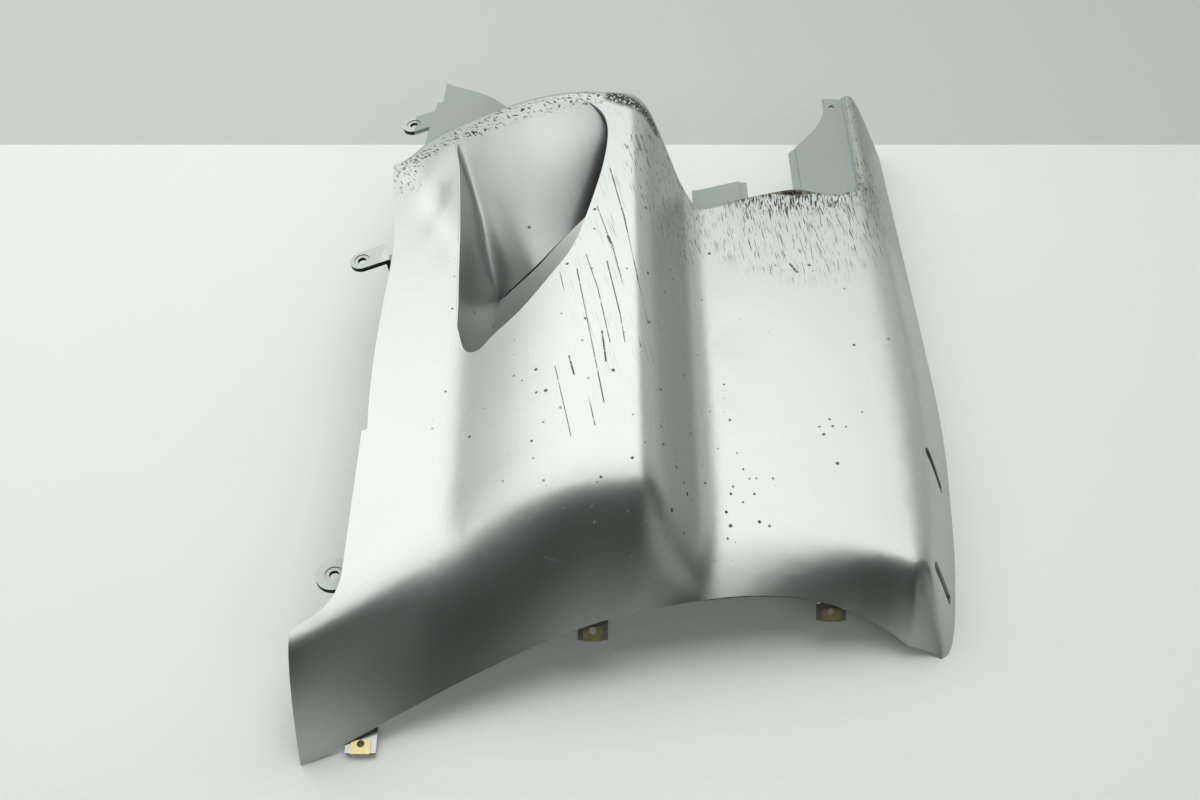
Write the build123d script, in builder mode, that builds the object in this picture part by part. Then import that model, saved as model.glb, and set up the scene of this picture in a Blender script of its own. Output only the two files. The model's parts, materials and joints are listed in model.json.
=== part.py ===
"""Motorcycle belly pan: one moulded half of a lower fairing with its three clip nuts.

It lies dome up. X runs along the seam edge, Y away from it and Z up. The pan rests on the
two ends of the seam edge, on the foot of its rolled side and on the lip of its scoop.
"""

import os
from math import cos, radians, sin, sqrt

from build123d import *

# Skin: one thin moulded wall
wall = 3.0
seat = 0.3
skin_end_y = 345.0

# Heights above the table at y = 0, and how fast they climb with y
strip_height = 92.5
strip_climb = 0.07
crest_height = 134.7
crest_climb = 0.106
plate_height = 66.3
plate_climb = 0.042

# Hump: where its flanks start and end
hump_left_x = -138.0
hump_left_spread = 62.0
spread_start_y = 60.0
spread_end_y = 205.0
crest_left_x = -34.0
crest_right_x = 2.0
hump_right_x = 59.0
flank_power = 0.58

# Seam edge (x, y, z) and the depth of the wall that rises from it (x, depth)
seam_edge = [
    (-240.0, -335.0, -6.0),
    (-225.0, -328.0, -1.5),
    (-108.0, -274.0, 30.0),
    (-26.0, -243.0, 44.0),
    (58.0, -226.0, 48.0),
    (108.0, -222.5, 44.0),
    (145.0, -226.0, 35.0),
    (175.0, -233.0, 20.0),
    (202.0, -244.0, 6.0),
    (216.0, -250.0, -2.0),
]
front_depth = [
    (-225.0, 62.0),
    (-109.0, 95.0),
    (-47.0, 84.0),
    (10.0, 74.0),
    (58.0, 56.0),
    (108.0, 48.0),
    (196.0, 46.0),
]
front_fullness = 2.0

# Rolled side: where it meets the table (y, x), its lean and how tight its shoulder is. It is drawn
# a little below the table and trimmed there.
side_foot = [
    (-251.0, 213.0),
    (-247.5, 220.6),
    (-242.6, 225.7),
    (-233.0, 229.6),
    (-202.6, 236.3),
    (-158.0, 244.0),
    (-111.0, 249.5),
    (-50.0, 255.5),
    (20.0, 258.0),
    (345.0, 257.0),
]
side_lean = 0.48
roll_x = 196.0
roll_tightness = 3.0
foot_below = 8.0

# Edges seen from above
left_edge = [
    (-201.5, 192.5),
    (-198.0, 122.0),
    (-197.5, 80.0),
    (-200.0, 15.0),
    (-201.0, -50.0),
    (-198.5, -102.0),
]
left_step = 4.0
left_low_y = -224.0
front_corner = (-232.0, -269.0)
front_corner_lean = 7.0
ridge = [
    (59.5, 169.5),
    (56.0, 175.0),
    (38.0, 199.0),
    (15.0, 216.5),
    (-26.0, 224.5),
    (-87.0, 223.5),
    (-141.0, 217.5),
    (-177.0, 209.0),
]
edge_round = 6.0
far_edge = [(150.0, 195.0), (126.0, 190.0), (105.0, 184.0), (80.0, 175.0)]
notch_y = 188.5
notch_radius = 22.0
arm_x = 207.7
arm_end_y = 334.0
return_depth = 18.0

# Ledges inside the notch
ledge_drop = 8.0
rabbet_width = 7.0
rabbet_depth = 1.6
ledge_root_y = 166.0
mid_ledge_edge = [(57.5, 198.0), (101.0, 212.0)]
gap_left_x = 108.0
gap_right_x = 150.0
right_ledge_edge = [
    (157.0, 260.0),
    (169.0, 274.5),
    (178.5, 287.5),
    (185.0, 301.0),
    (189.0, 315.0),
    (190.0, 332.0),
]
arm_hole = (197.6, 319.6)
arm_hole_radius = 3.0

# Flange beside the far end of the left edge
flange_width = 6.5
flange_start_y = 98.0
flange_drop = 1.6

# Scoop ribs: above the skin (x, y), on the skin (x, y), on the way down and at the lip (x, y, z)
scoop_overlap = 14.0
scoop_ribs = [
    [(-140.0, -45.0), (-137.5, -44.0), (-128.0, -42.0, 70.0), (-117.0, -40.0, 55.0)],
    [(-142.0, 15.0), (-139.0, 18.0), (-130.0, 20.0, 72.0), (-117.0, 25.0, 48.0)],
    [(-146.0, 80.0), (-142.0, 80.0), (-131.0, 78.0, 70.0), (-112.5, 71.0, 45.0)],
    [(-154.0, 168.0), (-146.0, 160.0), (-128.0, 125.0, 84.0), (-106.5, 80.0, 50.0)],
    [(-160.0, 205.0), (-149.0, 193.0), (-124.0, 140.0, 92.0), (-93.0, 80.5, 66.0)],
    [(-125.0, 221.0), (-120.0, 208.0), (-101.0, 150.0, 109.0), (-78.0, 85.5, 80.0)],
    [(-82.0, 224.0), (-80.0, 211.0), (-72.0, 158.0, 125.0), (-61.5, 100.0, 90.0)],
    [(-40.0, 222.0), (-40.0, 209.0), (-42.0, 167.0, 131.0), (-43.0, 119.0, 97.0)],
    [(-12.0, 217.0), (-12.0, 206.0), (-17.0, 177.0, 132.0), (-22.0, 143.5, 103.0)],
]
vent_lip = [
    (-44, 211),
    (-31, 203),
    (-22.5, 190.5),
    (-19.3, 171),
    (-20.2, 154),
    (-27, 114),
    (-37, 74),
    (-50, 37),
    (-67, 13),
    (-94, -16),
    (-112, -29),
    (-119, -34.5),
    (-127, -33),
    (-133, -24),
    (-138, -5.5),
]
vent_back = [
    (-141, 15),
    (-144.5, 80),
    (-151, 165),
    (-156.5, 201),
    (-123.5, 217),
    (-81.5, 220),
    (-44, 218),
]

# Shelf behind the ridge
shelf_drop = 8.0
shelf_bend_x = -150.0
shelf_bend = 0.00625
shelf_edge = [(-190, 165), (-180, 258), (-176.5, 281), (-171.5, 281), (-170, 309)]
shelf_round = [(-170, 309), (-138, 296), (-112, 284), (-98, 262), (-92, 165)]

# Lugs: hole centres on their upper faces
lug_thickness = 4.0
lug_width = 20.0
lug_length = 22.0
lug_turn = 19.0
lug_droop = 8.0
lug_hole_radius = 3.6
lug_ring_radius = 6.6
lug_ring_depth = 0.8
far_lug = (-196.9, 254.8, 98.5)
mid_lug = (-223.4, 76.3, 92.5)
leg_depth = 20.0
web_length = 10.0
web_width = 12.0
round_lug = (-211.0, -216.0, 62.5)
round_lug_radius = 13.0

# Slots in the rolled side, from upper to lower end
slots = [((224, -94, 54), (241, -114, 26)), ((211, -197, 47), (231, -206, 13))]
slot_width = 9.0

# Worn flat on the far edge
worn_middle = (147.0, 182.5)
worn_half = 38.0
worn_rise = 3.1
worn_tilt = 8.0

# Seam tabs and clip nuts: (x, slope, drop below the rim)
tabs_at = [(-188.0, 6.0, 3.2), (-31.0, 35.0, 3.2), (138.0, 35.0, 6.0)]
tab_width = 21.0
tab_thickness = 2.0
tab_reach = 11.0
tab_root = 12.0
gusset_width = 3.0
gusset_setback = 2.2
gusset_depth = 7.0
gusset_below = 6.0
gusset_above = 5.0
nut_width = 13.4
nut_sheet = 0.7
nut_gap = 0.1
nut_leaf = 9.8
nut_hole_radius = 2.6
nut_hole_inset = 6.2
nut_collar_radius = 3.4
nut_collar_length = 1.8

reach = 400.0


def ease(start, end, t):
    """0 before start, 1 after end and a smooth step between."""
    s = min(max((t - start) / (end - start), 0.0), 1.0)
    return s * s * (3 - 2 * s)


def through(stations, t):
    """Value at t of a smooth curve through (t, value) stations."""
    last = len(stations) - 1
    i = 0
    while i < last - 1 and t > stations[i + 1][0]:
        i += 1

    def slope(k):
        before, after = stations[max(k - 1, 0)], stations[min(k + 1, last)]
        return (after[1] - before[1]) / (after[0] - before[0])

    (t0, v0), (t1, v1) = stations[i], stations[i + 1]
    s = min(max((t - t0) / (t1 - t0), 0.0), 1.0)
    m0, m1 = slope(i) * (t1 - t0), slope(i + 1) * (t1 - t0)
    return (
        (1 + 2 * s) * (1 - s) ** 2 * v0
        + s * (1 - s) ** 2 * m0
        + s * s * (3 - 2 * s) * v1
        + s * s * (s - 1) * m1
    )


def seam_at(x):
    """Point of the seam edge at x."""
    y = through([(p[0], p[1]) for p in seam_edge], x)
    z = through([(p[0], p[2]) for p in seam_edge], x)
    return Vector(x, y, z)


def strip_at(y):
    return strip_height + strip_climb * y


def crown(x, y):
    """Height of the outer face before it turns down at the front and the side."""
    crest = crest_height + crest_climb * y
    if x < crest_left_x:
        foot = hump_left_x - hump_left_spread * ease(spread_start_y, spread_end_y, y)
        return strip_at(y) + (crest - strip_at(y)) * ease(foot, crest_left_x, x) ** flank_power
    plate = plate_height + plate_climb * y
    return crest + (plate - crest) * ease(crest_right_x, hump_right_x, x)


def skin_point(x, roll, rise):
    """Outer face: roll 0 to 1 turns down the side, rise 0 to 1 climbs the front, 1 to 2 goes back."""
    seam = seam_at(x)
    start_y = seam_at(x + roll * (seam_edge[-1][0] - x)).Y
    depth = through(front_depth, max(x, front_depth[0][0]))
    if rise < 1:
        climb = 1 - (1 - rise) ** front_fullness
        y = start_y + depth * rise
    else:
        climb = 1.0
        y = start_y + depth + (skin_end_y - start_y - depth) * (rise - 1)
    top = seam.Z + (crown(x, y) - seam.Z) * climb
    foot_x = through(side_foot, y)
    inner, corner, foot = (1 - roll) ** 2, 2 * roll_tightness * roll * (1 - roll), roll**2
    whole = inner + corner + foot
    return Vector(
        (inner * x + corner * (foot_x - side_lean * top) + foot * (foot_x + side_lean * foot_below)) / whole,
        y,
        (inner * top + corner * top * sqrt(climb) - foot * foot_below) / whole,
    )


def lowered(rows, depth):
    """Rows of points moved by depth against the surface's normal."""
    result = []
    for i, row in enumerate(rows):
        before, after = rows[max(i - 1, 0)], rows[min(i + 1, len(rows) - 1)]
        moved = []
        for j, point in enumerate(row):
            along = row[min(j + 1, len(row) - 1)] - row[max(j - 1, 0)]
            normal = (after[j] - before[j]).cross(along).normalized()
            moved.append(point - normal * depth)
        result.append(moved)
    return result


def surface(rows):
    """A smooth face through rows of points, with the same spacing along every row."""
    lengths = [0.0]
    for j in range(1, len(rows[0])):
        steps = [(row[j] - row[j - 1]).length for row in rows]
        lengths.append(lengths[-1] + sum(steps) / len(steps))
    spacing = [length / lengths[-1] for length in lengths]
    curves = [Edge.make_spline(row, parameters=spacing) for row in rows]
    return Shell.make_loft([Wire([curve]) for curve in curves]).face()


def sheet(rows, depth):
    """A wall of even depth under the surface through rows of points."""
    outer, inner = surface(rows), surface(lowered(rows, depth))
    rims = [Face.make_surface_from_curves(a, b) for a, b in zip(outer.edges(), inner.edges())]
    return Solid(Shell([outer, inner, *rims]))


def between(ribs, count, columns):
    """Evenly spaced rows through ribs of points."""
    stations = [0.0]
    for before, after in zip(ribs, ribs[1:]):
        stations.append(stations[-1] + (Vector(*after[1]) - Vector(*before[1])).length)

    def curve(places, points, t):
        return Vector(*[through(list(zip(places, axis)), t) for axis in zip(*points)])

    last = len(ribs[0]) - 1
    rows = []
    for i in range(count):
        at = stations[-1] * i / (count - 1)
        knots = [tuple(curve(stations, points, at)) for points in zip(*ribs)]
        rows.append([curve(range(last + 1), knots, last * j / (columns - 1)) for j in range(columns)])
    return rows


def shifted(rows, drop):
    return [[point - Vector(0, 0, drop) for point in row] for row in rows]


# Rows of the skin, from left to right, each from the seam edge to the far end
skin_left_x = seam_edge[0][0]
stations = [(skin_left_x + (roll_x - skin_left_x) * i / 36, 0.0) for i in range(37)]
stations += [(roll_x, ease(0, 12, i)) for i in range(1, 13)]
rises = [i / 8 for i in range(8)] + [1 + i / 16 for i in range(17)]
skin_rows = [[skin_point(x, roll, rise) for rise in rises] for x, roll in stations]

# Everything above the outer face, less the seat that joined pieces keep below it
seat_rows = shifted(skin_rows, seat)
with BuildPart() as sky:
    extrude(surface(seat_rows), amount=reach, dir=(0, 0, 1))

# Outline of the pan seen from above
left_low = (left_edge[-1][0] - left_step, left_low_y)
near_y = seam_edge[0][1] - 30
with BuildSketch() as outline:
    with BuildLine() as rim:
        Line((reach, arm_end_y), (arm_x, arm_end_y))
        Line((arm_x, arm_end_y), (arm_x, notch_y + notch_radius))
        RadiusArc((arm_x, notch_y + notch_radius), (arm_x - notch_radius, notch_y), notch_radius)
        Spline((arm_x - notch_radius, notch_y), *far_edge, ridge[0], tangents=[(-1, 0), (-1, -0.15)])
        Spline(*ridge, left_edge[0], tangents=[(-0.4, 0.6), (-1, -0.6)])
        Spline(*left_edge)
        Polyline(left_edge[-1], (left_low[0], left_edge[-1][1] - left_step / 2), left_low)
        Spline(left_low, front_corner, tangents=[(0, -1), (-1, -0.75)])
        Line(front_corner, (front_corner[0] + front_corner_lean, near_y))
    with BuildLine():
        Polyline((front_corner[0] + front_corner_lean, near_y), (reach, near_y), (reach, arm_end_y))
    make_face()


def inside(depth, line, t, line_after=None):
    """Point at a depth inside a rim line, mitred where the next line starts."""
    first = line.tangent_at(t).rotate(Axis.Z, 90)
    second = line_after.tangent_at(0).rotate(Axis.Z, 90) if line_after else first
    return line.position_at(t) + (first + second) * (depth / (1 + first.dot(second)))


def draw_inside(depth, lines):
    """Draws the rim lines again at a depth inside them, and returns the two ends."""
    begin = start = inside(depth, lines[0], 0)
    for line, line_after in zip(lines, [*lines[1:], None]):
        end = inside(depth, line, 1, line_after)
        if line.geom_type == GeomType.LINE:
            Line(start, end)
        else:
            steps = max(round(line.length / 12), 4)
            Spline(start, *[inside(depth, line, i / steps) for i in range(1, steps)], end)
        start = end
    return begin, end


# Returns: every cut edge of the outline turns down, drawn a little past it and trimmed with the skin
rim_lines = rim.edges()
with BuildPart() as edge_return:
    extrude(surface(seat_rows), amount=return_depth, dir=(0, 0, -1))
    with BuildSketch() as band:
        with BuildLine():
            outer_start, outer_end = draw_inside(-wall / 3, rim_lines)
            inner_start, inner_end = draw_inside(wall, rim_lines)
            Line(outer_start, inner_start)
            Line(outer_end, inner_end)
        make_face()
    extrude(band.sketch, amount=reach, mode=Mode.INTERSECT)

# Ledges inside the notch, with a rabbet on each side of the gap
top_rows = [row[8:] for row in skin_rows]
with BuildPart() as ledges:
    extrude(surface(shifted(top_rows, ledge_drop)), amount=wall, dir=(0, 0, -1))
    with BuildSketch() as ledge_plan:
        with BuildLine():
            Polyline(
                *mid_ledge_edge,
                (gap_left_x - rabbet_width, ledge_root_y),
                (mid_ledge_edge[0][0], ledge_root_y),
                close=True,
            )
        make_face()
        with BuildLine():
            Spline(*right_ledge_edge)
            Polyline(
                right_ledge_edge[-1],
                (arm_x + wall / 2, right_ledge_edge[-1][1]),
                (arm_x + wall / 2, ledge_root_y),
                (gap_right_x + rabbet_width, ledge_root_y),
                right_ledge_edge[0],
            )
        make_face()
        with Locations(arm_hole):
            Circle(arm_hole_radius, mode=Mode.SUBTRACT)
    extrude(ledge_plan.sketch, amount=reach, mode=Mode.INTERSECT)

with BuildPart() as rabbets:
    rabbet_rows = shifted(top_rows, ledge_drop + rabbet_depth)
    extrude(surface(rabbet_rows), amount=wall - rabbet_depth, dir=(0, 0, -1))
    with BuildSketch() as rabbet_plan:
        with BuildLine():
            Polyline(
                mid_ledge_edge[1],
                (gap_left_x, mid_ledge_edge[1][1]),
                (gap_left_x, ledge_root_y),
                (gap_left_x - rabbet_width, ledge_root_y),
                close=True,
            )
        make_face()
        with BuildLine():
            Polyline(
                right_ledge_edge[0],
                (gap_right_x, right_ledge_edge[0][1] - rabbet_width),
                (gap_right_x, ledge_root_y),
                (gap_right_x + rabbet_width, ledge_root_y),
                close=True,
            )
        make_face()
    extrude(rabbet_plan.sketch, amount=reach, mode=Mode.INTERSECT)

# Flange beside the far end of the left edge
with BuildPart() as flange:
    extrude(surface(shifted(top_rows, flange_drop)), amount=wall, dir=(0, 0, -1))
    with BuildSketch() as flange_plan:
        with BuildLine():
            far_left = left_edge[0]
            start_x = left_edge[1][0]
            Polyline(
                (far_left[0] + wall, far_left[1] - wall),
                (far_left[0] - flange_width, far_left[1] - wall),
                (start_x, flange_start_y),
                (start_x + wall, flange_start_y),
                close=True,
            )
        make_face()
    extrude(flange_plan.sketch, amount=reach, mode=Mode.INTERSECT)

# Shelf behind the ridge
shelf_rows = []
for i in range(9):
    x = shelf_edge[0][0] + (shelf_round[-1][0] - shelf_edge[0][0]) * i / 8
    bend = shelf_bend * max(x - shelf_bend_x, 0) ** 2
    far_y = shelf_edge[-1][1] + wall
    ys = [shelf_edge[0][1] + (far_y - shelf_edge[0][1]) * j / 6 for j in range(7)]
    shelf_rows.append([Vector(x, y, strip_at(y) - shelf_drop - bend) for y in ys])
with BuildPart() as shelf:
    extrude(surface(shelf_rows), amount=wall, dir=(0, 0, -1))
    with BuildSketch() as shelf_plan:
        with BuildLine():
            Polyline(*shelf_edge)
            Spline(*shelf_round)
            Line(shelf_round[-1], shelf_edge[0])
        make_face()
    extrude(shelf_plan.sketch, amount=reach, mode=Mode.INTERSECT)

# Scoop: a wall hanging from the skin, and the vent opened above it
ribs = [
    [low, mid, (*meet, crown(*meet)), (*top, crown(*top) + scoop_overlap)]
    for top, meet, mid, low in scoop_ribs
]
scoop_rows = between(ribs, 31, 9)
with BuildPart() as scoop:
    add(sheet(scoop_rows, wall))
    add(sky.part, mode=Mode.SUBTRACT)
    extrude(outline.sketch, amount=reach, mode=Mode.INTERSECT)

with BuildPart() as vent:
    with BuildSketch() as vent_plan:
        with BuildLine():
            Spline(*vent_lip)
            Polyline(vent_lip[-1], *vent_back, vent_lip[0])
        make_face()
    extrude(vent_plan.sketch, amount=reach)
    extrude(surface(lowered(scoop_rows, wall / 2)), amount=reach, dir=(0, 0, -1), mode=Mode.SUBTRACT)


def lug_plane(hole):
    """Upper face of a lug, its x running towards the pan."""
    droop, turn = radians(lug_droop), radians(lug_turn)
    toward = Vector(cos(droop) * cos(turn), cos(droop) * sin(turn), sin(droop))
    across = Vector(-sin(turn), cos(turn), 0)
    return Plane(origin=hole, x_dir=toward, z_dir=toward.cross(across))


# Lugs: two long ones, the nearer on a leg, and a round one
with BuildPart() as lugs:
    for hole in (far_lug, mid_lug):
        with BuildSketch(lug_plane(hole)):
            Circle(lug_width / 2)
            Rectangle(lug_length, lug_width, align=(Align.MIN, Align.CENTER))
        extrude(amount=-lug_thickness)
    with Locations(lug_plane(mid_lug).location * Pos(lug_length, 0, 0)):
        Box(lug_thickness, lug_width, leg_depth, align=(Align.MAX, Align.CENTER, Align.MAX))
    with Locations(lug_plane(mid_lug).location * Pos(lug_length - lug_thickness, 0, -leg_depth)):
        Box(web_length, web_width, leg_depth / 2, align=(Align.MIN, Align.CENTER, Align.MIN))
    with BuildSketch(Plane(origin=round_lug)):
        Circle(round_lug_radius)
    extrude(amount=-lug_thickness)
    for plane in (lug_plane(far_lug), lug_plane(mid_lug), Plane(origin=round_lug)):
        with BuildSketch(plane):
            Circle(lug_ring_radius)
        extrude(amount=-lug_ring_depth, mode=Mode.SUBTRACT)
        with BuildSketch(plane):
            Circle(lug_hole_radius)
        extrude(amount=-lug_thickness, mode=Mode.SUBTRACT)

# Seam tabs, each on two gussets behind the rim
tab_planes = []
for x, slope, drop in tabs_at:
    leaning = Vector(0, -sin(radians(slope)), cos(radians(slope)))
    tab_planes.append(Plane(origin=seam_at(x) - leaning * drop, x_dir=(1, 0, 0), z_dir=leaning))
gusset_offset = (tab_width - gusset_width) / 2
gusset_rims = [seam_at(x + side * gusset_offset) for x, _, _ in tabs_at for side in (-1, 1)]
with BuildPart() as tabs:
    with Locations([plane.location * Pos(0, -tab_reach, 0) for plane in tab_planes]):
        Box(tab_width, tab_reach + tab_root, tab_thickness, align=(Align.CENTER, Align.MIN, Align.MAX))
    with Locations([rim + Vector(0, gusset_setback, -gusset_below) for rim in gusset_rims]):
        gusset_height = gusset_below + gusset_above
        Box(gusset_width, gusset_depth, gusset_height, align=(Align.CENTER, Align.MIN, Align.MIN))
    with Locations([plane.location * Pos(0, nut_hole_inset - tab_reach, 0) for plane in tab_planes]):
        Cylinder(nut_hole_radius + nut_sheet, 4 * tab_thickness, mode=Mode.SUBTRACT)
    add(sky.part, mode=Mode.SUBTRACT)

with BuildPart() as belly_pan:
    add(sheet(skin_rows, wall))
    add(edge_return.part)
    extrude(outline.sketch, amount=reach, mode=Mode.INTERSECT)
    rounded = [Vector(*corner, crown(*corner)) for corner in (ridge[4], far_edge[1])]
    fillet([belly_pan.edges().sort_by_distance(point)[0] for point in rounded], edge_round)
    add(ledges.part)
    add(rabbets.part)
    add(flange.part)
    add(shelf.part)
    add(vent.part, mode=Mode.SUBTRACT)
    add(scoop.part)
    add(lugs.part)
    add(tabs.part)
    for upper, lower in slots:
        upper, lower = Vector(*upper), Vector(*lower)
        across = Plane(origin=(upper + lower) / 2, x_dir=lower - upper, z_dir=(1, 0, side_lean))
        with BuildSketch(across):
            SlotOverall((lower - upper).length, slot_width)
        extrude(amount=5 * wall, both=True, mode=Mode.SUBTRACT)
    worn_start = Vector(*worn_middle, crown(*worn_middle))
    falling = Vector(0, cos(radians(worn_tilt)), -sin(radians(worn_tilt)))
    with BuildSketch(Plane(origin=worn_start, x_dir=(-1, 0, 0), z_dir=falling)):
        with BuildLine():
            ThreePointArc((-worn_half, worn_rise), (0, 0), (worn_half, worn_rise))
            Polyline(
                (worn_half, worn_rise),
                (worn_half, 4 * worn_rise),
                (-worn_half, 4 * worn_rise),
                (-worn_half, worn_rise),
            )
        make_face()
    extrude(amount=10 * wall, mode=Mode.SUBTRACT)

# Clip nuts: a sheet folded round the free end of each tab, with a threaded collar below
fold = nut_sheet + nut_gap
with BuildPart() as clip_nuts:
    with Locations([plane.location * Pos(0, -tab_reach - fold, fold) for plane in tab_planes]):
        Box(nut_width, nut_leaf, tab_thickness + 2 * fold, align=(Align.CENTER, Align.MIN, Align.MAX))
    with Locations([plane.location * Pos(0, -tab_reach - nut_gap, nut_gap) for plane in tab_planes]):
        Box(
            nut_width,
            nut_leaf,
            tab_thickness + 2 * nut_gap,
            align=(Align.CENTER, Align.MIN, Align.MAX),
            mode=Mode.SUBTRACT,
        )
    hole_y = nut_hole_inset - tab_reach
    downward = (Align.CENTER, Align.CENTER, Align.MAX)
    with Locations([plane.location * Pos(0, hole_y, -tab_thickness - nut_gap) for plane in tab_planes]):
        Cylinder(nut_collar_radius, nut_sheet + nut_collar_length, align=downward)
    with Locations([plane.location * Pos(0, hole_y, fold) for plane in tab_planes]):
        Cylinder(
            nut_hole_radius,
            tab_thickness + 2 * fold + nut_collar_length,
            align=downward,
            mode=Mode.SUBTRACT,
        )

# Both pieces are moved so that the middle of the pan's footprint is the origin
middle = belly_pan.part.bounding_box().center()
with BuildPart() as placed_pan:
    with Locations((-middle.X, -middle.Y, 0)):
        add(belly_pan.part)
with BuildPart() as placed_nuts:
    with Locations((-middle.X, -middle.Y, 0)):
        add(clip_nuts.part)

placed_pan.part.label = "belly_pan"
placed_nuts.part.label = "clip_nuts"
os.makedirs("parts", exist_ok=True)
export_step(placed_pan.part, "parts/belly_pan.step")
export_step(placed_nuts.part, "parts/clip_nuts.step")
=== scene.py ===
# %% [markdown]
# A motorcycle belly pan is a thin moulded shell that closes the fairing below the engine. This one
# is half of a pair: silver paint over black plastic, a domed side with a scooped vent, lugs along
# one edge and three clip nuts along the seam. The shell and the nuts come from the CAD frame, so
# this lesson is about light, paint and wear.

import json
from math import radians

import bmesh
import bpy
from mathutils import Euler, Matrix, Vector, noise
from mathutils.bvhtree import BVHTree

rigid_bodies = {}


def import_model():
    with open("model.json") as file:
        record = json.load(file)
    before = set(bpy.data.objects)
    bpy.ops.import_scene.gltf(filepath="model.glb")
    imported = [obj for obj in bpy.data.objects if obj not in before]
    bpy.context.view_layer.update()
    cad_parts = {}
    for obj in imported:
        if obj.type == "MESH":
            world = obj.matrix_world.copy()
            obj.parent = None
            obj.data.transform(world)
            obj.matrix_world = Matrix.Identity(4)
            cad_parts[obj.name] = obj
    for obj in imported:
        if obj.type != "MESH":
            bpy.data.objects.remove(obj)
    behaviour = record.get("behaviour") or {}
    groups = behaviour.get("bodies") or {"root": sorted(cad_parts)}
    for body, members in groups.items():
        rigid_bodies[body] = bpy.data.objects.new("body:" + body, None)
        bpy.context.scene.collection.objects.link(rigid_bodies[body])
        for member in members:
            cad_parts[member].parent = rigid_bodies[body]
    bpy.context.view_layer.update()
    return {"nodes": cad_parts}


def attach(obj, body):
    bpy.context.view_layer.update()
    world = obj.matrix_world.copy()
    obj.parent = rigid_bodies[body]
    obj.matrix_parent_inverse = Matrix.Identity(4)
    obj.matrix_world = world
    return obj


for leftover in list(bpy.data.objects):
    bpy.data.objects.remove(leftover)
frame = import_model()
pan = frame["nodes"]["belly_pan"]
nuts = frame["nodes"]["clip_nuts"]

# %% [markdown]
# The camera comes first, because marks on the paint are easiest to place by looking through it. It
# stands in front of the seam edge and looks down at 48 degrees. A pixel of the 1200 by 800 picture
# becomes a ray, and the ray's hit on the shell is the place of a mark in the frame.

# %% Camera
PICTURE = (1200, 800)
LENS = 0.039
SENSOR = 0.036
camera = bpy.data.objects.new("camera", bpy.data.cameras.new("camera"))
camera.data.lens = LENS * 1000
camera.data.sensor_width = SENSOR * 1000
camera.location = (-0.0384, -0.7339, 0.8157)
camera.rotation_euler = (radians(90 - 48), 0, 0)
bpy.context.scene.collection.objects.link(camera)
bpy.context.scene.camera = camera
print("camera at", tuple(camera.location))

# %% From a pixel to the shell
tree = BVHTree.FromPolygons([v.co for v in pan.data.vertices], [p.vertices for p in pan.data.polygons])
PIXELS_PER_UNIT = PICTURE[0] * LENS / SENSOR
TURN = Euler(camera.rotation_euler).to_matrix()


def on_pan(pixel):
    """Point of the shell behind a pixel of the picture."""
    across = (pixel[0] - PICTURE[0] / 2) / PIXELS_PER_UNIT
    up = (PICTURE[1] / 2 - pixel[1]) / PIXELS_PER_UNIT
    hit = tree.ray_cast(camera.location, TURN @ Vector((across, up, -1)).normalized())[0]
    if hit is None:
        raise ValueError(f"the ray through {pixel} misses the shell")
    return hit


print("crest of the dome", on_pan((600, 330)))

# %% [markdown]
# Shader maths is easier to read as plain expressions than as a web of nodes. The class below wraps
# one output socket. Adding, multiplying or comparing two of them adds a Math node, and its method
# `node` makes any other node from its type, its settings and its inputs.


# %% Shader maths as expressions
class Maths:
    """An output socket of a material. Arithmetic on it adds Math nodes."""

    def __init__(self, nodes, socket=None):
        self.nodes = nodes
        self.socket = socket

    def node(self, kind, settings, inputs, output=0):
        made = self.nodes.nodes.new(kind)
        for name, value in settings.items():
            setattr(made, name, value)
        for name, value in inputs.items():
            if isinstance(value, Maths):
                self.nodes.links.new(value.socket, made.inputs[name])
            else:
                made.inputs[name].default_value = value
        return Maths(self.nodes, made.outputs[output])

    def maths(self, operation, *values):
        return self.node("ShaderNodeMath", {"operation": operation}, dict(enumerate(values)))

    def __add__(self, other):
        return self.maths("ADD", self, other)

    __radd__ = __add__

    def __sub__(self, other):
        return self.maths("SUBTRACT", self, other)

    def __rsub__(self, other):
        return self.maths("SUBTRACT", other, self)

    def __mul__(self, other):
        return self.maths("MULTIPLY", self, other)

    __rmul__ = __mul__

    def __truediv__(self, other):
        return self.maths("DIVIDE", self, other)

    def __gt__(self, other):
        return self.maths("GREATER_THAN", self, other)

    def __lt__(self, other):
        return self.maths("LESS_THAN", self, other)

    def either(self, other):
        return self.maths("MAXIMUM", self, other)

    def step(self, start, end):
        """A smooth step from 0 at start to 1 at end."""
        settings = {"interpolation_type": "SMOOTHSTEP"}
        return self.node("ShaderNodeMapRange", settings, {"Value": self, "From Min": start, "From Max": end})

    def blend(self, colour, other):
        """colour where this is 0, other where it is 1."""
        return self.node("ShaderNodeMix", {"data_type": "RGBA"}, {0: self, 6: colour, 7: other}, 2)


def material(name):
    """A new material, its Principled shader and a start for expressions."""
    made = bpy.data.materials.new(name)
    made.use_nodes = True
    return made, made.node_tree.nodes["Principled BSDF"], Maths(made.node_tree)


def feed(start, shader, **sockets):
    """Links expressions to the shader's sockets, and sets plain values on them."""
    for name, value in sockets.items():
        socket = shader.inputs[name.replace("_", " ").title()]
        if isinstance(value, Maths):
            start.nodes.links.new(value.socket, socket)
        else:
            socket.default_value = value


# %% [markdown]
# Three patterns make all the wear. Long scratches are straight lines between two places, chips are
# small cells that a random number keeps or drops, and scuffs are a noise that is stretched along
# the way the pan slid. All of them read Object coordinates, in millimetres.


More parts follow.
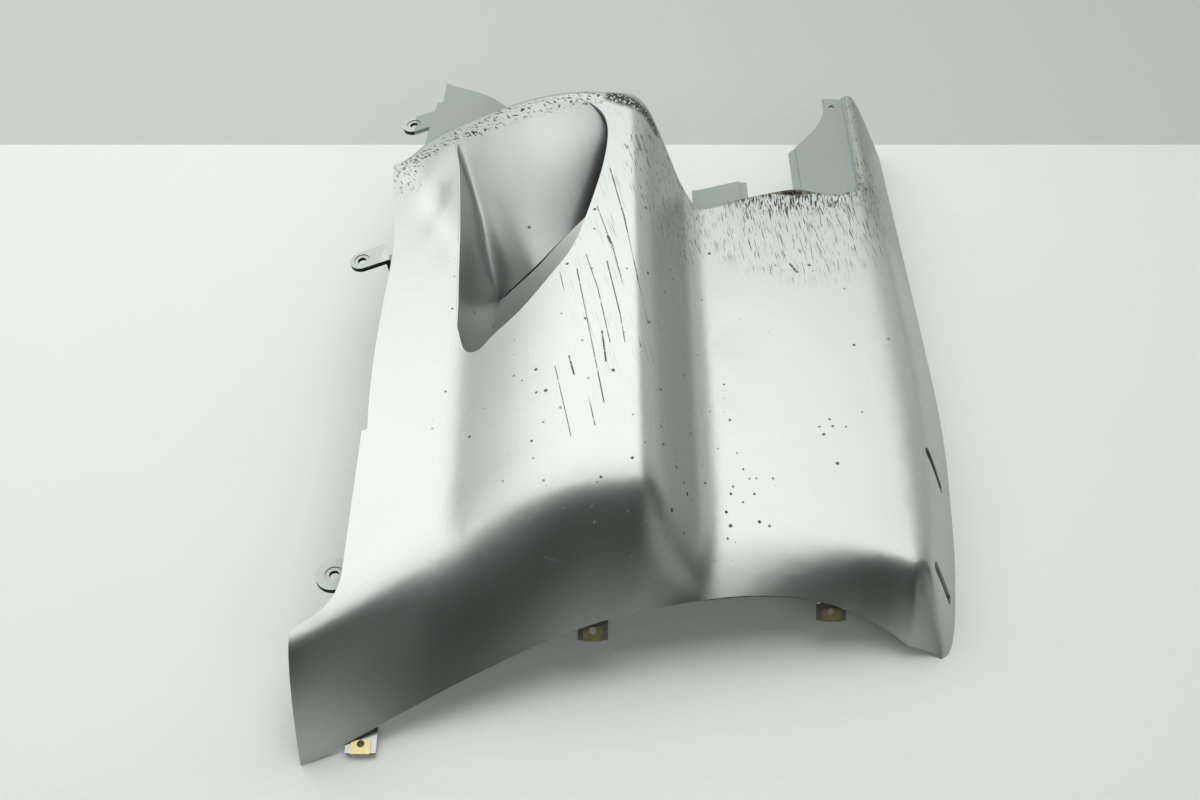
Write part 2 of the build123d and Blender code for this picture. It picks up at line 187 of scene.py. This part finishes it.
# %% Patterns of wear
def places(start):
    """Object coordinates in millimetres: the vector and its x, y and z."""
    at = start.node("ShaderNodeTexCoord", {}, {}, "Object")
    at = start.node("ShaderNodeVectorMath", {"operation": "SCALE"}, {0: at, "Scale": 1000.0})
    parts = [start.node("ShaderNodeSeparateXYZ", {}, {0: at}, axis) for axis in range(3)]
    return at, *parts


def line_mark(start, at, first, last, half_width):
    """1 on a thin line from first to last, which fades at its sides."""
    run = (last - first) * 1000
    away = start.node("ShaderNodeVectorMath", {"operation": "SUBTRACT"}, {0: at, 1: first * 1000})
    along = start.node("ShaderNodeVectorMath", {"operation": "DOT_PRODUCT"}, {0: away, 1: run}, "Value")
    share = start.node(
        "ShaderNodeMath", {"operation": "MULTIPLY", "use_clamp": True}, {0: along, 1: 1 / run.length_squared}
    )
    foot = start.node("ShaderNodeVectorMath", {"operation": "SCALE"}, {0: run, "Scale": share})
    gap = start.node("ShaderNodeVectorMath", {"operation": "DISTANCE"}, {0: away, 1: foot}, "Value")
    return 1 - gap.step(half_width * 0.3, half_width)


def streaks(start, at, angle, width, length, sparse):
    """Thin marks along a direction in plan, from a stretched noise. A higher sparse leaves fewer."""
    along = {"Vector": at, "Rotation": (0, 0, radians(angle)), "Scale": (width, length, length)}
    turned = start.node("ShaderNodeMapping", {"vector_type": "TEXTURE"}, along)
    grain = start.node("ShaderNodeTexNoise", {}, {"Vector": turned, "Scale": 1.0, "Detail": 2.0})
    return grain.step(sparse, sparse + 0.05)


def chips(start, at, size, share, stretch=(1, 1, 1)):
    """Small round marks: one in each kept cell of the given size."""
    cells = {"Vector": at, "Scale": tuple(size * s for s in stretch)}
    scaled = start.node("ShaderNodeMapping", {"vector_type": "TEXTURE"}, cells)
    cell = {"Vector": scaled, "Scale": 1.0}
    distance = start.node("ShaderNodeTexVoronoi", {}, cell, "Distance")
    colour = start.node("ShaderNodeTexVoronoi", {}, cell, "Color")
    chance = [start.node("ShaderNodeSeparateColor", {}, {0: colour}, band) for band in range(2)]
    radius = chance[0] * 0.22 + 0.06
    return (1 - (distance / radius).step(0.6, 1.0)) * (chance[1] < share)


def near(x, y, middle, reach, soft):
    """1 inside an ellipse in plan, 0 outside, with a soft edge."""
    dx = (x - middle[0]) / reach[0]
    dy = (y - middle[1]) / reach[1]
    return 1 - (dx * dx + dy * dy).step(1 - soft, 1 + soft)


# %% [markdown]
# The paint is a satin silver: metal flakes under a dull clear coat. It covers what faces up or out.
# The ledges, the shelf and the lugs behind the visible edges got only a thin grey coat, and the
# underside stayed raw black plastic, so one material holds three finishes and chooses by place and
# by the direction that the surface faces.

# %% Zones of the shell
SILVER = (0.5, 0.527, 0.512, 1)
GREY_COAT = (0.37, 0.42, 0.39, 1)
LUG_COAT = (0.62, 0.67, 0.635, 1)
RAW_PLASTIC = (0.016, 0.017, 0.016, 1)
BARE_RUB = (0.2, 0.17, 0.14, 1)
# Painted shade: a darker olive for the top of the arm at the far right, where it rolls away from the light.
PAINTED_SHADE_OLIVE = (0.3, 0.32, 0.26, 1)
WORN_FLAT = (134.6, 179.6)

LONG_SCRATCHES = [
    ((610, 168), (624, 216), 0.7),
    ((624, 216), (638, 280), 0.75),
    ((638, 280), (648, 324), 0.5),
    ((597, 206), (608, 235), 0.5),
    ((608, 236), (613, 248), 1.5),
    ((613, 248), (641, 347), 0.6),
    ((607, 261), (620, 313), 0.7),
    ((620, 313), (625, 342), 0.5),
    ((586, 254), (598, 289), 0.5),
    ((598, 289), (610, 342), 0.55),
    ((577, 269), (604, 402), 0.7),
    ((560, 272), (595, 425), 0.6),
    ((569, 356), (574, 374), 1.0),
    ((602, 331), (606, 361), 1.0),
    ((555, 366), (571, 436), 0.5),
    ((636, 135), (641, 151), 0.8),
    ((641, 135), (650, 168), 0.8),
    ((625, 144), (641, 189), 0.7),
    ((545, 557), (556, 561), 1.0),
    ((790, 264), (797, 272), 1.4),
]
RIDGE_FOLD = [(402, 168), (443, 143), (502, 117), (549, 103), (597, 97)]
RUBBED_RIDGE = [(612, 96), (634, 104), (648, 117), (655, 130)]


def any_of(marks):
    """1 where any of the marks is."""
    marks = iter(marks)
    total = next(marks)
    for mark in marks:
        total = total.either(mark)
    return total


def path_mark(start, at, pixels, half_width):
    """1 along a path of places that pixels give."""
    runs = zip(pixels, pixels[1:])
    return any_of(line_mark(start, at, on_pan(first), on_pan(last), half_width) for first, last in runs)


def shell_wear(start, at, x, y):
    """Where the paint is gone: 1 is bare plastic."""
    broken = start.node("ShaderNodeTexNoise", {}, {"Vector": at, "Scale": 0.25, "Detail": 3.0})
    blotchy = start.node("ShaderNodeTexNoise", {}, {"Vector": at, "Scale": 0.55, "Detail": 4.0})
    lines = any_of(
        line_mark(start, at, on_pan(first), on_pan(last), half_width)
        for first, last, half_width in LONG_SCRATCHES
    )
    zones = [
        lines * broken.step(0.25, 0.5) * 0.85,
        blotchy.step(0.38, 0.47) * path_mark(start, at, RUBBED_RIDGE, 10.0),
        streaks(start, at, 60, 1.4, 4, 0.58) * path_mark(start, at, RIDGE_FOLD, 12.0),
        streaks(start, at, 5, 0.8, 17, 0.59) * near(x, y, (132, 175), (95, 95), 0.6) * 0.85,
        streaks(start, at, -4, 1.2, 8, 0.52) * near(x, y, (130, 192), (70, 34), 0.6),
        streaks(start, at, 12, 0.9, 11, 0.6) * near(x, y, (18, 140), (34, 70), 0.5) * 0.8,
        streaks(start, at, 14, 0.45, 45, 0.66) * near(x, y, (-15, 60), (55, 140), 0.4) * 0.7,
        streaks(start, at, 35, 1.2, 5, 0.6) * near(x, y, (-206, 172), (16, 26), 0.6) * 0.9,
        streaks(start, at, -6, 0.8, 9, 0.6) * near(x, y, (208, 240), (22, 95), 0.4) * 0.7,
        chips(start, at, 7.0, 0.14) * near(x, y, (10, -20), (190, 190), 0.3) * 0.8,
        chips(start, at, 6.0, 0.3, (1, 1.3, 1)) * near(x, y, (10, -150), (95, 55), 0.5),
    ]
    return any_of(zones)


def shell_finish():
    made, shader, start = material("worn_silver_paint")
    at, x, y, z = places(start)
    normal = start.node("ShaderNodeNewGeometry", {}, {}, "Normal")
    facing = start.node("ShaderNodeSeparateXYZ", {}, {0: normal}, 2)

    strip = y * 0.07 + 92.5
    plate = y * 0.042 + 66.3
    shelf = (y > 197) * (x < -80) * (z < strip - 5)
    notch = (y > 155) * (x > 44) * (x < 197) * (z < plate - 5.5)
    lugs = (x < -208) * (y > -236) * (z < strip - 3)
    behind = shelf.either(notch).either(lugs)
    painted = facing.step(-0.14, -0.06) * (1 - lugs * (1 - facing.step(0.6, 0.8)))

    from_worn = x - WORN_FLAT[0]
    worn_flat = (y - WORN_FLAT[1] - from_worn * from_worn * 0.0085).step(0, 0.6)
    worn_flat = worn_flat * (from_worn * from_worn < 1100) * (z > plate - 5.5) * (y > 150)
    wear = shell_wear(start, at, x, y) * (1 - behind)

    cloud = start.node("ShaderNodeTexNoise", {}, {"Vector": at, "Scale": 0.012, "Detail": 3.0})
    flakes = start.node("ShaderNodeTexWhiteNoise", {}, {"Vector": at}, "Value")
    silver = cloud.blend(tuple(c * 0.95 for c in SILVER[:3]) + (1,), SILVER)
    silver = (flakes * 0.08).blend(silver, (0.25, 0.26, 0.26, 1))
    # Painted shade: the rolled-off top of the arm is painted darker olive and made less metallic, standing
    # in for the shade where it turns away from the light.
    arm_shade = x.step(190, 206) * y.step(90, 190) * (1 - behind)
    silver = (arm_shade * 0.7).blend(silver, PAINTED_SHADE_OLIVE)
    coat = behind.blend(silver, lugs.blend(GREY_COAT, LUG_COAT))
    bare = (1 - painted).either(wear)
    colour = bare.blend(coat, RAW_PLASTIC)
    rub = start.node("ShaderNodeTexNoise", {}, {"Vector": at, "Scale": 0.3, "Detail": 5.0})
    colour = worn_flat.blend(colour, rub.step(0.4, 0.7).blend(BARE_RUB, RAW_PLASTIC))

    metal = (1 - bare.either(worn_flat)) * (0.97 - (behind * 0.85).either(arm_shade * 0.6))
    rough = 0.34 + cloud * 0.06 + bare * 0.2 + behind * 0.25 + worn_flat * 0.3
    peel = start.node("ShaderNodeTexNoise", {}, {"Vector": at, "Scale": 0.6, "Detail": 2.0})
    height = peel * 0.15 + worn_flat * rub
    bump = start.node("ShaderNodeBump", {}, {"Strength": 0.12, "Distance": 0.0002, "Height": height})
    feed(start, shader, base_color=colour, metallic=metal, roughness=rough, normal=bump)
    return made


pan.data.materials.clear()
pan.data.materials.append(shell_finish())
print("shell material", pan.data.materials[0].name)

# %% [markdown]
# Where the far edge was ground flat on the road, plastic melted and set again as a lumpy burr. It
# is one ball, stretched along the edge and pushed in and out by two sizes of noise, so that its
# outline is really rough.

# %% Burr on the worn edge
BURR_PIXELS = ((782, 193), (801, 192.5))
BURR_RADIUS = 0.0022
burr_ends = [on_pan(pixel) for pixel in BURR_PIXELS]
burr_run = burr_ends[1] - burr_ends[0]
burr_middle = (burr_ends[0] + burr_ends[1]) / 2
shape = bmesh.new()
bmesh.ops.create_icosphere(shape, subdivisions=5, radius=1)
for vert in shape.verts:
    outward = Vector((0, vert.co.y, vert.co.z)) * BURR_RADIUS
    place = burr_middle + burr_run * 0.55 * vert.co.x + outward
    lumps = 0.7 * noise.noise(place * 350) + 0.35 * noise.noise(place * 1100)
    vert.co = place + outward * lumps
for face in shape.faces:
    face.smooth = True
mesh = bpy.data.meshes.new("burr")
shape.to_mesh(mesh)
shape.free()
burr = bpy.data.objects.new("burr", mesh)
bpy.context.scene.collection.objects.link(burr)


def melted_plastic():
    made, shader, start = material("melted_plastic")
    at = places(start)[0]
    cloud = start.node("ShaderNodeTexNoise", {}, {"Vector": at, "Scale": 0.6, "Detail": 4.0})
    colour = cloud.step(0.45, 0.65).blend(RAW_PLASTIC, BARE_RUB)
    feed(start, shader, base_color=colour, roughness=0.45 + cloud * 0.3)
    return made


burr.data.materials.append(melted_plastic())
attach(burr, "root")
print("burr from", burr_ends[0], "to", burr_ends[1])

# %% [markdown]
# The clip nuts are spring steel with a yellow zinc plate. The plate is thin and never quite even:
# it goes from straw to a faint green, and its roughness changes with it.


# %% Zinc plate
def zinc_plate():
    made, shader, start = material("yellow_zinc")
    at = places(start)[0]
    cloud = start.node("ShaderNodeTexNoise", {}, {"Vector": at, "Scale": 0.35, "Detail": 4.0})
    stain = chips(start, at, 2.0, 0.3)
    colour = cloud.step(0.35, 0.65).blend((0.62, 0.5, 0.2, 1), (0.68, 0.62, 0.36, 1))
    colour = (stain * 0.6).blend(colour, (0.12, 0.09, 0.05, 1))
    bump = start.node("ShaderNodeBump", {}, {"Strength": 0.2, "Distance": 0.0001, "Height": cloud})
    feed(start, shader, base_color=colour, metallic=0.95, roughness=0.3 + cloud * 0.2, normal=bump)
    return made


nuts.data.materials.clear()
nuts.data.materials.append(zinc_plate())
print("nut material", nuts.data.materials[0].name)

# %% [markdown]
# The table is white. Behind a seam it turns a darker grey: partly a greyer backdrop, and partly painted
# shade for that backdrop, which gets less light. It is one flat face, and only its colour changes at the
# seam.


# %% Table
TABLE = (0.92, 0.945, 0.92, 1)
# Partly a greyer backdrop, partly painted shade for the backdrop behind the seam.
GREY_AND_SHADE_BEHIND = (0.62, 0.64, 0.605, 1)
TABLE_SEAM = 352


def table_top():
    made, shader, start = material("table_top")
    at, _, y, _ = places(start)
    cloud = start.node("ShaderNodeTexNoise", {}, {"Vector": at, "Scale": 0.006, "Detail": 2.0})
    colour = cloud.blend(tuple(c * 0.97 for c in TABLE[:3]) + (1,), TABLE)
    # Painted shade, in part: behind the seam the table is painted darker grey.
    colour = y.step(TABLE_SEAM, TABLE_SEAM + 2).blend(colour, GREY_AND_SHADE_BEHIND)
    feed(start, shader, base_color=colour, roughness=0.55)
    return made


shape = bmesh.new()
bmesh.ops.create_grid(shape, x_segments=1, y_segments=1, size=4)
mesh = bpy.data.meshes.new("floor")
shape.to_mesh(mesh)
shape.free()
mesh.materials.append(table_top())
floor = bpy.data.objects.new("floor", mesh)
bpy.context.scene.collection.objects.link(floor)
print("floor", tuple(floor.dimensions))

# %% [markdown]
# The studio is plain: one large soft light hangs over the pan, to the left and a little behind it,
# and a weak fill stands in front. The fill is hidden from reflections, because a satin metal shows
# the room around it. What lies flat reflects the big light and looks white, and the front wall
# reflects the dark part of the room and looks almost black.

# %% Studio light
world = bpy.data.worlds.new("studio")
bpy.context.scene.world = world
world.use_nodes = True
sky = Maths(world.node_tree)
direction = sky.node("ShaderNodeTexCoord", {}, {}, "Generated")
right, back, height = [sky.node("ShaderNodeSeparateXYZ", {}, {0: direction}, axis) for axis in range(3)]
sides = (right * right).step(0.15, 0.5) * (1 - back.step(-0.5, -0.1))
front = height.step(0.04, 0.3).blend((0.3, 0.31, 0.3, 1), (0.022, 0.024, 0.022, 1))
front = sides.blend(front, (0.42, 0.435, 0.42, 1))
room = back.step(-0.05, 0.6).blend(front, (0.8, 0.83, 0.8, 1))
background = world.node_tree.nodes["Background"]
world.node_tree.links.new(room.socket, background.inputs["Color"])


def soft_light(name, place, aim, size, power):
    """An area light that points from its place to its aim."""
    lamp = bpy.data.lights.new(name, "AREA")
    lamp.shape = "RECTANGLE"
    lamp.size, lamp.size_y = size
    lamp.energy = power
    made = bpy.data.objects.new(name, lamp)
    made.location = place
    made.rotation_euler = (Vector(aim) - Vector(place)).to_track_quat("-Z", "Y").to_euler()
    bpy.context.scene.collection.objects.link(made)
    return made


soft_light("overhead", (-0.6, 0.6, 1.5), (-0.6, 0.6, 0), (2.6, 1.8), 22)
fill = soft_light("fill", (0.3, -1.6, 1.4), (0, 0, 0), (2.0, 1.0), 7)
fill.visible_glossy = False
bpy.context.scene.view_settings.view_transform = "Standard"
